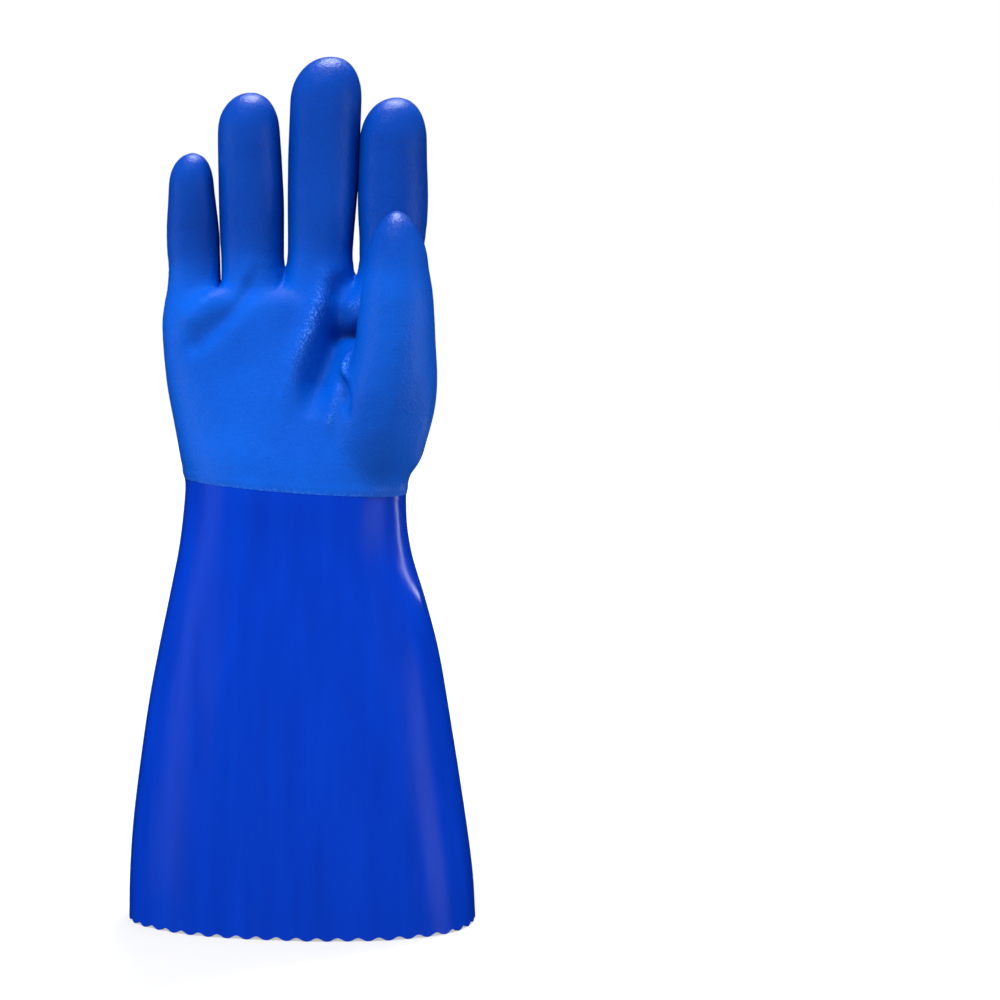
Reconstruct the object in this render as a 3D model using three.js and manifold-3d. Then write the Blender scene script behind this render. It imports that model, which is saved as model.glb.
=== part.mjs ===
// A PVC coated work glove for the right hand, 350 mm long, standing on its flared gauntlet.
// A cotton lining, knitted to the shape of the hand, carries two coats: a smooth one that shows on
// the gauntlet, and a thicker, rough one over the hand that ends at a slanting edge on the wrist.
// Millimetres. +Z runs from the hem to the fingertips, the palm faces -Y and the thumb is on +X.
import * as THREE from 'three';
import { LoftGeometry } from 'three/addons/geometries/LoftGeometry.js';
import { mergeVertices } from 'three/addons/utils/BufferGeometryUtils.js';
import Module from 'manifold-3d';

// Driving dimensions of the gauntlet
const gauntletLength = 174; // from the hem to the edge of the rough coat, at the middle of the wrist
const hemWidth = 143;
const hemDepth = 86;
const hemTwist = 8; // degrees that the mouth of the gauntlet is turned from the palm's plane
const wristWidth = 89;
const wristDepth = 62;
const coatEdgeFall = 5; // how much lower the rough coat's edge lies on the thumb's side
const scallopCount = 46;
const scallopDepth = 1.5;

// Driving dimensions of the hand
const palmLength = 90; // from the edge of the rough coat to the web beside the middle finger
const palmWidth = 104; // at the knuckles
const palmDepth = 37;
const palmSetBack = 7; // from the middle of the hem back to the middle of the hand
const fingerLength = 86; // the middle finger, from its web
const fingerWidth = 26.9; // the middle finger
const fingerDepth = 27; // the middle finger
const thumbLength = 109.5; // from the heel of the hand
const thumbWidth = 39;
const thumbDepth = 38;
const thumbForward = 32.5; // from the middle of the palm forward to the middle of the thumb

// Driving dimensions of the layers
const gauntletCoat = 1.1;
const handCoat = 1.6;
const liningThickness = 1;
const clearance = 0.3; // between one layer or one piece and the next
const pastEnd = 5; // how far the form of a hollow runs past the open end that it makes

// Resolution of the faceted surfaces
const bodySides = 32;
const fingerSides = 12;
const thumbSides = 12;
const tipAngles = [28, 56, 80];

// Sections of the gauntlet. at: share of its length; flare: 0 is the wrist's size and 1 is the hem's;
// shift: move towards the thumb, a share of the wrist's width; back: share of the palm's set back;
// lean: share of the slant of the coat's edge; square: 2 is an ellipse, more is boxier.
const gauntletSections = [
  { at: 0, flare: 1, shift: -0.006, back: 0, lean: 0, square: 2.3 },
  { at: 0.1, flare: 0.98, shift: -0.009, back: 0, lean: 0, square: 2.3 },
  { at: 0.22, flare: 0.917, shift: -0.014, back: 0.02, lean: 0, square: 2.25 },
  { at: 0.36, flare: 0.798, shift: -0.016, back: 0.08, lean: 0, square: 2.2 },
  { at: 0.51, flare: 0.633, shift: -0.017, back: 0.16, lean: 0.05, square: 2.15 },
  { at: 0.64, flare: 0.465, shift: -0.014, back: 0.25, lean: 0.15, square: 2.1 },
  { at: 0.76, flare: 0.278, shift: -0.016, back: 0.34, lean: 0.4, square: 2.1 },
  { at: 0.88, flare: 0.094, shift: -0.023, back: 0.42, lean: 0.75, square: 2.1 },
  { at: 1, flare: 0.02, shift: -0.025, back: 0.5, lean: 1, square: 2.1 },
];

// Sections of the hand below the fingers. at: share of the palm's length; spread and flat: 0 is the
// wrist's width or depth and 1 is the palm's; shift: a share of the palm's width.
const palmSections = [
  { at: 0.13, spread: 0.28, flat: 0.12, shift: -0.023, back: 0.6, lean: 0.8, square: 2.2 },
  { at: 0.3, spread: 0.48, flat: 0.38, shift: -0.032, back: 0.75, lean: 0.5, square: 2.3 },
  { at: 0.48, spread: 0.62, flat: 0.62, shift: -0.046, back: 0.88, lean: 0.2, square: 2.4 },
  { at: 0.66, spread: 0.78, flat: 0.82, shift: -0.05, back: 0.96, lean: 0, square: 2.5 },
  { at: 0.8, spread: 0.93, flat: 0.99, shift: -0.045, back: 1, lean: 0, square: 2.6 },
  { at: 0.87, spread: 1, flat: 1.1, shift: -0.032, back: 1, lean: 0, square: 2.6 },
  { at: 0.92, spread: 0.8, flat: 1.5, shift: -0.024, back: 1, lean: 0, square: 2.6 },
];

// Fingers. root and tip: places across the hand, as shares of the palm's width; reach: length past
// the middle web and curl: how far the tip comes forward, shares of the finger length; base: how far
// its own webs lie below the middle one, outward and inward: how much its root widens on the little
// finger's side and on the thumb's side, and round: length of the rounded end, shares of the finger
// width; wide, rootWide and tipWide: widths at the middle, the root and the start of the rounded
// end, shares of the finger width; thick: share of the finger depth.
const fingers = [
  {
    name: 'index', root: 0.362, tip: 0.374, reach: 0.814, curl: 0.075, base: 0.11, outward: 0.186,
    inward: 0.015, round: 0.67, wide: 1, rootWide: 0.94, tipWide: 0.96, thick: 0.98,
  },
  {
    name: 'middle', root: 0.07, tip: 0.108, reach: 1, curl: 0.08, base: 0, outward: 0.06,
    inward: 0.11, round: 0.63, wide: 1, rootWide: 0.93, tipWide: 1, thick: 1,
  },
  {
    name: 'ring', root: -0.19, tip: -0.2, reach: 0.83, curl: 0.083, base: 0.075, outward: 0.007,
    inward: 0.06, round: 0.56, wide: 0.937, rootWide: 0.918, tipWide: 0.871, thick: 0.944,
  },
  {
    name: 'little', root: -0.42, tip: -0.423, reach: 0.551, curl: 0.077, base: 0.3, outward: 0,
    inward: 0.067, round: 0.52, wide: 0.751, rootWide: 0.781, tipWide: 0.646, thick: 0.796,
  },
];

// Sections at every finger's root, where it widens into its neighbours. above: height over its webs,
// a share of the finger width; wide and thick: shares of the root's width and the finger's depth;
// spread: share of the widening.
const rootSections = [
  { above: -0.9, wide: 0.5, spread: 0, thick: 0.6 },
  { above: -0.45, wide: 1, spread: 1, thick: 1.24 },
  { above: -0.11, wide: 1, spread: 1, thick: 1.16 },
  { above: 0.11, wide: 1, spread: 0.3, thick: 1.05 },
  { above: 0.33, wide: 1, spread: 0, thick: 1 },
];

// Sections from there to the rounded end. at: share of that length.
const shaftSections = [
  { at: 0.5, thick: 0.99 },
  { at: 1, thick: 0.97 },
];
const fingerSeam = 4; // the section at which the little finger's own piece of the coat starts

// The thumb stands in front of the palm. at: share of its length; across: middle, as a share of the
// palm's width; forward, wide and thick: shares of its sizes.
const thumbStart = 0.028; // where it starts, a share of the palm's length above the coat's edge
const thumbRound = 0.2; // the length of its rounded end, a share of its length
const thumbSeam = 3; // the section at which its own piece of the coat starts
const thumbSections = [
  { at: 0, across: 0.21, forward: 0.28, wide: 0.6, thick: 0.68 },
  { at: 0.095, across: 0.27, forward: 0.34, wide: 0.95, thick: 0.9 },
  { at: 0.185, across: 0.308, forward: 0.46, wide: 1.01, thick: 1 },
  { at: 0.29, across: 0.332, forward: 0.6, wide: 1.02, thick: 1.02 },
  { at: 0.4, across: 0.349, forward: 0.74, wide: 0.985, thick: 0.97 },
  { at: 0.52, across: 0.365, forward: 0.86, wide: 0.89, thick: 0.87 },
  { at: 0.64, across: 0.377, forward: 0.95, wide: 0.785, thick: 0.77 },
  { at: 0.73, across: 0.3765, forward: 0.99, wide: 0.72, thick: 0.72 },
  { at: 0.8, across: 0.375, forward: 0.995, wide: 0.67, thick: 0.68 },
];

const colours = { handCoat: 0x0457cf, gauntletCoat: 0x033dbe, lining: 0xd9cfb8 };

const wasm = await Module();
wasm.setup();

const mix = (a, b, share) => a + (b - a) * share;
const radians = THREE.MathUtils.degToRad;
const moved = (section, rise) => ({ ...section, height: section.height + rise });

// Points spaced evenly round a rounded oblong.
function ovalRing({ x, y, width, depth, square, turn = 0 }, count) {
  const fine = 360;
  const corner = (i) => {
    const angle = (i / fine) * 2 * Math.PI;
    const reach = (value) => Math.sign(value) * Math.abs(value) ** (2 / square);
    return new THREE.Vector2((reach(Math.cos(angle)) * width) / 2, (reach(Math.sin(angle)) * depth) / 2)
      .rotateAround(new THREE.Vector2(), radians(turn))
      .add(new THREE.Vector2(x, y));
  };
  const outline = new THREE.CurvePath();
  for (let i = 0; i < fine; i += 1) outline.add(new THREE.LineCurve(corner(i), corner(i + 1)));
  return Array.from({ length: count }, (_, i) => outline.getPoint(i / count));
}

// A section as a ring in space, drawn in by inset from the glove's outer surface.
function sectionRing(section, inset, sides) {
  const { width, depth, height, slope = 0 } = section;
  const oval = { ...section, width: width - 2 * inset, depth: depth - 2 * inset };
  return ovalRing(oval, sides).map((p) => new THREE.Vector3(p.x, p.y, height - slope * p.x));
}

const gauntletForm = gauntletSections.map(({ at, flare, shift, back, lean, square }) => ({
  x: shift * wristWidth,
  y: back * palmSetBack,
  width: mix(wristWidth, hemWidth, flare),
  depth: mix(wristDepth, hemDepth, flare),
  height: at * gauntletLength,
  slope: (lean * coatEdgeFall) / wristWidth,
  turn: -hemTwist * flare,
  square,
}));

const palmForm = palmSections.map(({ at, spread, flat, shift, back, lean, square }) => ({
  x: shift * palmWidth,
  y: back * palmSetBack,
  width: mix(wristWidth, palmWidth, spread),
  depth: mix(wristDepth, palmDepth, flat),
  height: gauntletLength + at * palmLength,
  slope: (lean * coatEdgeFall) / wristWidth,
  square,
}));

const coatEdge = gauntletForm.at(-1);

function fingerSectionsOf(finger) {
  const webs = gauntletLength + palmLength - finger.base * fingerWidth;
  const tip = gauntletLength + palmLength + finger.reach * fingerLength;
  const shaftStart = webs + rootSections.at(-1).above * fingerWidth;
  const shaftEnd = tip - finger.round * fingerWidth;
  const depth = finger.thick * fingerDepth;
  const section = (height, width, thick, aside = 0) => {
    const share = (height - webs) / (tip - webs);
    return {
      x: palmWidth * mix(finger.root, finger.tip, share) + aside,
      y: palmSetBack - finger.curl * fingerLength * Math.max(0, share) ** 2,
      width,
      depth: thick * depth,
      height,
      square: 2.15,
    };
  };
  const shaftWidth = (share) => fingerWidth * (share < 0.5
    ? mix(finger.rootWide, finger.wide, 2 * share)
    : mix(finger.wide, finger.tipWide, 2 * share - 1));
  const roots = rootSections.map(({ above, wide, spread, thick }) => {
    const added = spread * (finger.inward + finger.outward) * fingerWidth;
    const aside = (spread * (finger.inward - finger.outward) * fingerWidth) / 2;
    return section(webs + above * fingerWidth, wide * shaftWidth(0) + added, thick, aside);
  });
  const shaft = shaftSections.map(({ at, thick }) =>
    section(mix(shaftStart, shaftEnd, at), shaftWidth(at), thick));
  return [...roots, ...shaft];
}

const thumbForm = thumbSections.map(({ at, across, forward, wide, thick }) => ({
  x: across * palmWidth,
  y: palmSetBack - forward * thumbForward,
  width: wide * thumbWidth,
  depth: thick * thumbDepth,
  height: gauntletLength + thumbStart * palmLength + at * thumbLength,
  square: 2,
}));

const thumb = { form: thumbForm, round: thumbRound * thumbLength, sides: thumbSides };
const digits = [
  ...fingers.map((finger) => ({
    form: fingerSectionsOf(finger),
    round: finger.round * fingerWidth,
    sides: fingerSides,
  })),
  thumb,
];
const littleFinger = digits.at(-2);

function solidOf(geometry) {
  const bare = new THREE.BufferGeometry().copy(geometry);
  bare.deleteAttribute('normal');
  bare.deleteAttribute('uv');
  const merged = mergeVertices(bare, 1e-4);
  return new wasm.Manifold(
    new wasm.Mesh({
      numProp: 3,
      vertProperties: merged.attributes.position.array,
      triVerts: new Uint32Array(merged.index.array),
    }),
  );
}

function loft(sections, inset, sides) {
  const rings = sections.map((section) => sectionRing(section, inset, sides));
  return solidOf(new LoftGeometry(rings, { capStart: true, capEnd: true }));
}

// A finger or the thumb as a closed form with a rounded end, drawn in by inset.
function digitSolid({ form, round, sides }, inset) {
  const end = form.at(-1);
  const before = form.at(-2);
  const length = end.height - before.height;
  const tip = tipAngles.map(radians).map((angle) => {
    const rise = (round - inset) * Math.sin(angle);
    return {
      ...end,
      x: end.x + ((end.x - before.x) * rise) / length,
      y: end.y + ((end.y - before.y) * rise) / length,
      width: mix(2 * inset, end.width, Math.cos(angle)),
      depth: mix(2 * inset, end.depth, Math.cos(angle)),
      height: end.height + rise,
    };
  });
  return loft([moved(form[0], inset), ...form.slice(1), ...tip], inset, sides);
}

// The glove as one closed form from the first of these sections up, drawn in by inset.
function gloveSolid(sections, inset) {
  const lowered = [...sections.slice(0, -1), moved(sections.at(-1), -inset)];
  return digits
    .map((digit) => digitSolid(digit, inset))
    .reduce((whole, digit) => whole.add(digit), loft(lowered, inset, bodySides));
}

// The wavy cut of the hem: a valley between each two lobes, square to the wall and through every
// layer of it. The lobes keep flat ends, on which the glove stands.
function hemValleys() {
  const middles = ovalRing(gauntletForm[0], scallopCount);
  const pitch = middles[0].distanceTo(middles[1]);
  const cut = 4 * (handCoat + clearance + liningThickness);
  const valley = new THREE.Shape([
    new THREE.Vector2(-pitch * 0.42, -scallopDepth),
    new THREE.Vector2(pitch * 0.42, -scallopDepth),
    new THREE.Vector2(pitch * 0.14, scallopDepth),
    new THREE.Vector2(-pitch * 0.14, scallopDepth),
  ]);
  return middles.map((point, i) => {
    const next = middles[(i + 1) % scallopCount];
    const before = middles[(i + scallopCount - 1) % scallopCount];
    const block = new THREE.ExtrudeGeometry(valley, { depth: cut, bevelEnabled: false });
    block.translate(0, 0, -cut / 2);
    block.rotateX(Math.PI / 2);
    block.rotateZ(Math.atan2(next.y - before.y, next.x - before.x));
    block.translate(point.x, point.y, 0);
    return solidOf(block);
  }).reduce((all, block) => all.add(block));
}

// The rough coat: palm, fingers and thumb in one skin, open at the wrist.
function roughCoatSolid() {
  const edge = moved(coatEdge, clearance / 2);
  const skin = gloveSolid([edge, ...palmForm], 0);
  const hollow = gloveSolid([moved(edge, -pastEnd), edge, ...palmForm], handCoat);
  return skin.subtract(hollow);
}

// The space of a digit from its seam up, drawn in by inset. The coat is divided by it.
function digitSpace(digit, seam, inset) {
  const [before, here, after] = digit.form
    .slice(seam - 1, seam + 2)
    .map((section) => new THREE.Vector3(section.x, section.y, section.height));
  const along = after.sub(before).normalize();
  return digitSolid(digit, inset).trimByPlane(along.toArray(), along.dot(here) + inset);
}

// The smooth coat of the gauntlet. Its inner face is flush with the rough coat's.
function gauntletCoatSolid(valleys) {
  const edge = moved(coatEdge, -clearance / 2);
  const wall = [...gauntletForm.slice(0, -1), edge];
  const bore = [moved(wall[0], -pastEnd), ...wall, moved(edge, pastEnd)];
  return loft(wall, handCoat - gauntletCoat, bodySides)
    .subtract(loft(bore, handCoat, bodySides))
    .subtract(valleys);
}

// The knitted lining: the same form once more inside both coats, cut with the gauntlet at the hem.
function liningSolid(valleys) {
  const outer = handCoat + clearance;
  const [hem, ...rest] = [...gauntletForm, ...palmForm];
  const skin = gloveSolid([moved(hem, clearance), ...rest], outer);
  const hollow = gloveSolid([moved(hem, -pastEnd), hem, ...rest], outer + liningThickness);
  return skin.subtract(hollow).subtract(valleys);
}

function meshOf(solid, name, color, roughness) {
  const { vertProperties, triVerts } = solid.getMesh();
  const geometry = new THREE.BufferGeometry()
    .setAttribute('position', new THREE.BufferAttribute(vertProperties, 3))
    .setIndex(new THREE.BufferAttribute(triVerts, 1));
  geometry.computeVertexNormals();
  const material = new THREE.MeshStandardMaterial({ color, roughness, metalness: 0 });
  const mesh = new THREE.Mesh(geometry, material);
  mesh.name = name;
  return mesh;
}

const valleys = hemValleys();
const roughCoat = roughCoatSolid();
const handCoatPiece = roughCoat
  .subtract(digitSpace(thumb, thumbSeam, -clearance))
  .subtract(digitSpace(littleFinger, fingerSeam, -clearance));
const thumbPiece = roughCoat.intersect(digitSpace(thumb, thumbSeam, 0));
const littleFingerPiece = roughCoat.intersect(digitSpace(littleFinger, fingerSeam, 0));
const glove = new THREE.Group();
glove.add(
  meshOf(handCoatPiece, 'hand_coat', colours.handCoat, 0.62),
  meshOf(thumbPiece, 'thumb_coat', colours.handCoat, 0.62),
  meshOf(littleFingerPiece, 'little_finger_coat', colours.handCoat, 0.62),
  meshOf(gauntletCoatSolid(valleys), 'gauntlet_coat', colours.gauntletCoat, 0.28),
  meshOf(liningSolid(valleys), 'lining', colours.lining, 0.95),
);

export default glove;
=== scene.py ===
"""The looks of a PVC coated work glove for the right hand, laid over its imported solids.

The glove stands on its scalloped hem, the palm faces -Y and the thumb is on +X. A rough coat
covers the hand and ends in a slanting edge at the wrist, a smooth coat shows from there down,
and a knitted lining runs inside both. Sizes are in millimetres until a point is placed.
"""

import logging
import math
from collections.abc import Callable, Iterable, Sequence
from dataclasses import astuple, dataclass, field, replace
from enum import Enum

import bmesh
import bpy
from bmesh.types import BMesh, BMVert
from bpy.types import Light, Material, Node, NodeSocket, NodeTree, Object
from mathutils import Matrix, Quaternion, Vector, noise


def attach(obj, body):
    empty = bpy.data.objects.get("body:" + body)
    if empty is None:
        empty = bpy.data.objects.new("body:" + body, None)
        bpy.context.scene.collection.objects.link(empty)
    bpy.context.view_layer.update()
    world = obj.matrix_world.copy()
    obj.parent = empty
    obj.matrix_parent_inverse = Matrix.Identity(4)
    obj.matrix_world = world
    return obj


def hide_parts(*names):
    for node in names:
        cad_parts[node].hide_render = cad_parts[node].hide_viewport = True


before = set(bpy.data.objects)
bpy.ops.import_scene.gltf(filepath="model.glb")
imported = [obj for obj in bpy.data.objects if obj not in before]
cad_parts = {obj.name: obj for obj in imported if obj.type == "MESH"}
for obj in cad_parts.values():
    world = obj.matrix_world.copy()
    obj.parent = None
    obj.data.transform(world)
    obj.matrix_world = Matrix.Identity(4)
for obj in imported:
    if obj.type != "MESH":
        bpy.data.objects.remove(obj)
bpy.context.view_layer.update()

LOG = logging.getLogger("glove")
MM = 0.001
# A shorter length counts as none.
NOUGHT = 1e-6
COAT_NODES = ("hand_coat", "thumb_coat", "little_finger_coat")
# The share of the way to its neighbours' middle that a point goes each time a corner is filled.
FILL_STEP = 0.6
# Where the thumb begins, along Y and along X. Folds of the hand fade there, and its own appear.
THUMB_AHEAD = (-15.0, -20.0)
THUMB_BESIDE = (20.0, 25.0)
# How far the back's folds come forward, and how squarely a face has to look their way.
BACK_FROM = -6.0
FACING = (0.05, 0.55)
PVC_IOR = 1.53


class Side(Enum):
    """A face of the hand, as the direction that it looks along Y."""

    PALM = -1.0
    BACK = 1.0


class Zone(Enum):
    """What a fold lies on. The thumb stands in front of the palm."""

    HAND = "hand"
    THUMB = "thumb"


def mix(low: float, high: float, share: float) -> float:
    """Give the value at a share of the way from low to high."""
    return low + (high - low) * share


def ease(low: float, high: float, value: float) -> float:
    """Climb smoothly from 0 at low to 1 at high.

    Args:
        low: Where the climb starts.
        high: Where it ends, which may lie below low.
        value: The place asked for.

    Returns:
        A share from 0 to 1.
    """
    share = min(1.0, max(0.0, (value - low) / (high - low)))
    return share * share * (3 - 2 * share)


def linear(colour: str) -> tuple[float, float, float, float]:
    """Turn an sRGB hex colour into the linear values that shaders use.

    Args:
        colour: Six hex digits.

    Returns:
        Red, green, blue and a full alpha.
    """
    parts = [int(colour[i : i + 2], 16) / 255 for i in (0, 2, 4)]
    red, green, blue = (
        part / 12.92 if part <= 0.04045 else ((part + 0.055) / 1.055) ** 2.4 for part in parts
    )
    return red, green, blue, 1.0


def add_node(
    tree: NodeTree, kind: str, wires: dict[str | int, object] | None = None, **settings: object
) -> Node:
    """Add a shader node with its settings and links.

    Args:
        tree: The tree that it goes into.
        kind: Its type.
        wires: What each input gets, by name or number: a socket to link or a plain value.
        **settings: Its own attributes.

    Returns:
        The new node.
    """
    made = tree.nodes.new(kind)
    for name, value in settings.items():
        setattr(made, name, value)
    for name, value in (wires or {}).items():
        if isinstance(value, NodeSocket):
            tree.links.new(value, made.inputs[name])
        else:
            made.inputs[name].default_value = value
    return made


@dataclass(frozen=True)
class Section:
    """A cross-section of the glove: a rounded oblong at a height, level or sloping along X."""

    height: float
    x: float
    y: float
    width: float
    depth: float
    square: float = 2.0
    slope: float = 0.0
    turn: float = 0.0

    def ring(self, count: int, inset: float = 0.0) -> list[Vector]:
        """Space points evenly round the section.

        Args:
            count: How many.
            inset: How far inside the glove's outer face they lie.

        Returns:
            The points, in millimetres, from +X towards +Y.
        """
        half = (self.width / 2 - inset, self.depth / 2 - inset)
        turn = math.radians(self.turn)
        fine = []
        for degree in range(361):
            angle = math.radians(degree)
            across, along = (
                math.copysign(abs(part) ** (2 / self.square), part) * size
                for part, size in zip((math.cos(angle), math.sin(angle)), half)
            )
            x = self.x + across * math.cos(turn) - along * math.sin(turn)
            y = self.y + across * math.sin(turn) + along * math.cos(turn)
            fine.append(Vector((x, y, self.height - self.slope * x)))
        walked = [0.0]
        for here, there in zip(fine, fine[1:]):
            walked.append(walked[-1] + (there - here).length)
        points, at = [], 0
        for i in range(count):
            goal = walked[-1] * i / count
            while at < len(fine) - 2 and walked[at + 1] < goal:
                at += 1
            step = max(walked[at + 1] - walked[at], NOUGHT)
            points.append(fine[at].lerp(fine[at + 1], (goal - walked[at]) / step))
        return points


def between(sections: Sequence[Section], height: float) -> Section:
    """Find the section at a height, on smooth curves through the given ones.

    Args:
        sections: The given sections, from the lowest up.
        height: The height asked for.

    Returns:
        The section there.
    """
    top = len(sections) - 1
    i = max(k for k in range(top) if k == 0 or sections[k].height <= height)
    lower, upper = sections[i], sections[i + 1]
    before, after = sections[max(i - 1, 0)], sections[min(i + 2, top)]
    span = upper.height - lower.height
    share = (height - lower.height) / span
    values = []
    for a, b, c, d in zip(*(astuple(section) for section in (before, lower, upper, after))):
        rise_b = (c - a) / (upper.height - before.height) * span
        rise_c = (d - b) / (after.height - lower.height) * span
        values.append(
            (1 + 2 * share) * (1 - share) ** 2 * b
            + share * (1 - share) ** 2 * rise_b
            + share**2 * (3 - 2 * share) * c
            - share**2 * (1 - share) * rise_c
        )
    return Section(*values)


@dataclass(frozen=True)
class Finger:
    """One finger, in shares of the palm's width and of a finger's length, width and depth.

    While the skin is melted it is splayed aside, so that it stays clear of the next one. After
    that it is brought back to its place, moved by its shift and made broader. Splay and shift
    are in millimetres.
    """

    # Where it stands across the palm, at its root and at its tip, how far it reaches and curls.
    root: float
    tip: float
    reach: float
    curl: float
    # How far its webs lie under the knuckles, and how far its root spreads to each neighbour.
    base: float
    outward: float
    inward: float
    # The length of its rounded end, then its widths and its thickness.
    round: float
    wide: float
    root_wide: float
    tip_wide: float
    thick: float
    splay: float
    shift: float
    broad: float


@dataclass(frozen=True)
class Digit:
    """A finger or the thumb: its sections, its rounded end's length, and the finger it is."""

    sections: list[Section]
    rounded: float
    finger: Finger | None


@dataclass(frozen=True)
class GloveForm:
    """The outer form of the glove, which its coats and its lining follow."""

    gauntlet_length: float = 174.0
    hem_width: float = 143.0
    hem_depth: float = 86.0
    hem_twist: float = 8.0
    wrist_width: float = 89.0
    wrist_depth: float = 62.0
    wrist_slope: float = 0.056
    # The rough coat's edge: its height, and how much it falls to the thumb and to the palm.
    edge_height: float = 176.9
    edge_fall: float = 6.8
    edge_dip: float = 3.0
    palm_length: float = 90.0
    palm_width: float = 104.0
    palm_depth: float = 37.0
    palm_set_back: float = 7.0
    finger_length: float = 86.0
    finger_width: float = 26.9
    finger_depth: float = 27.0
    finger_square: float = 2.15
    # A finger's thickness at its middle, and where its end starts to round.
    middle_thick: float = 0.99
    tip_thick: float = 0.97
    # How far over its webs a finger's splay starts, and where it is reached in full.
    splay_start: float = -5.0
    splay_full: float = 13.0
    thumb_length: float = 109.5
    thumb_width: float = 39.0
    thumb_depth: float = 38.0
    thumb_forward: float = 32.5
    thumb_start: float = 0.028
    thumb_round: float = 0.208
    # Share of the length, flare, shift, set back, lean of the edge, squareness.
    gauntlet_table: tuple[tuple[float, ...], ...] = (
        (0, 1, -0.006, 0, 0, 2.3),
        (0.1, 0.98, -0.009, 0, 0, 2.3),
        (0.22, 0.917, -0.014, 0.02, 0, 2.25),
        (0.36, 0.798, -0.016, 0.08, 0, 2.2),
        (0.51, 0.633, -0.017, 0.16, 0.05, 2.15),
        (0.64, 0.465, -0.014, 0.25, 0.15, 2.1),
        (0.76, 0.278, -0.016, 0.34, 0.4, 2.1),
        (0.88, 0.094, -0.023, 0.42, 0.75, 2.1),
        (1, 0.02, -0.025, 0.5, 1, 2.1),
    )
    # Share of the length, spread, flatness, shift, set back, lean, squareness.
    palm_table: tuple[tuple[float, ...], ...] = (
        (0.13, 0.28, 0.12, -0.023, 0.6, 0.8, 2.2),
        (0.3, 0.48, 0.38, -0.032, 0.75, 0.5, 2.3),
        (0.48, 0.62, 0.62, -0.046, 0.88, 0.2, 2.6),
        (0.66, 0.78, 0.82, -0.05, 0.96, 0, 2.9),
        (0.8, 0.93, 0.99, -0.045, 1, 0, 3.1),
        (0.87, 1, 1.1, -0.032, 1, 0, 2.9),
        (0.92, 0.8, 1.5, -0.024, 1, 0, 2.3),
    )
    # The index, middle, ring and little finger.
    fingers: tuple[Finger, ...] = (
        Finger(
            root=0.362, tip=0.374, reach=0.814, curl=0.075,
            base=0.11, outward=0.186, inward=0.015, round=0.67,
            wide=1, root_wide=0.94, tip_wide=0.96, thick=0.98,
            splay=5.0, shift=-0.8, broad=1.035,
        ),
        Finger(
            root=0.07, tip=0.108, reach=1, curl=0.08,
            base=0, outward=0.06, inward=0.11, round=0.63,
            wide=1, root_wide=0.93, tip_wide=1, thick=1,
            splay=1.5, shift=0.4, broad=1.045,
        ),
        Finger(
            root=-0.19, tip=-0.2, reach=0.83, curl=0.083,
            base=0.075, outward=0.007, inward=0.06, round=0.56,
            wide=0.937, root_wide=0.918, tip_wide=0.871, thick=0.944,
            splay=-1.5, shift=0.0, broad=1.02,
        ),
        Finger(
            root=-0.42, tip=-0.423, reach=0.551, curl=0.077,
            base=0.3, outward=0, inward=0.067, round=0.52,
            wide=0.751, root_wide=0.781, tip_wide=0.646, thick=0.796,
            splay=-5.0, shift=0.0, broad=1.035,
        ),
    )
    # Height over the webs, width, spread into the neighbours, thickness.
    root_table: tuple[tuple[float, ...], ...] = (
        (-0.9, 0.5, 0, 0.6),
        (-0.45, 1, 1, 1.14),
        (-0.11, 1, 1, 1.1),
        (0.11, 1, 0.3, 1.05),
        (0.33, 1, 0, 1),
    )
    # Share of the thumb's length, place across, place forward, width, thickness.
    thumb_table: tuple[tuple[float, ...], ...] = (
        (0, 0.235, 0.34, 0.78, 0.76),
        (0.095, 0.28, 0.42, 0.98, 0.94),
        (0.185, 0.308, 0.53, 1.01, 1),
        (0.29, 0.336, 0.63, 1.01, 1.02),
        (0.4, 0.362, 0.74, 0.93, 0.97),
        (0.52, 0.38, 0.86, 0.82, 0.87),
        (0.64, 0.386, 0.95, 0.75, 0.77),
        (0.73, 0.388, 0.99, 0.69, 0.72),
        (0.8, 0.389, 0.995, 0.62, 0.68),
    )

    @property
    def edge_normal(self) -> Vector:
        """Which way the plane of the rough coat's edge faces, one millimetre high."""
        return Vector((self.edge_fall / self.wrist_width, -self.edge_dip / self.wrist_depth, 1))

    def body(self) -> list[Section]:
        """Give the sections from the hem to the knuckles."""
        made = [
            Section(
                at * self.gauntlet_length,
                shift * self.wrist_width,
                back * self.palm_set_back,
                mix(self.wrist_width, self.hem_width, flare),
                mix(self.wrist_depth, self.hem_depth, flare),
                square,
                lean * self.wrist_slope,
                -self.hem_twist * flare,
            )
            for at, flare, shift, back, lean, square in self.gauntlet_table
        ]
        return made + [
            Section(
                self.gauntlet_length + at * self.palm_length,
                shift * self.palm_width,
                back * self.palm_set_back,
                mix(self.wrist_width, self.palm_width, spread),
                mix(self.wrist_depth, self.palm_depth, flat),
                square,
                lean * self.wrist_slope,
            )
            for at, spread, flat, shift, back, lean, square in self.palm_table
        ]

    def finger(self, finger: Finger) -> list[Section]:
        """Give the sections of a finger from inside the palm to its rounded end.

        Args:
            finger: The finger.

        Returns:
            Its sections, from the lowest up.
        """
        webs = self.webs(finger)
        tip = self.gauntlet_length + self.palm_length + finger.reach * self.finger_length
        start = webs + self.root_table[-1][0] * self.finger_width
        end = tip - finger.round * self.finger_width

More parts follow.
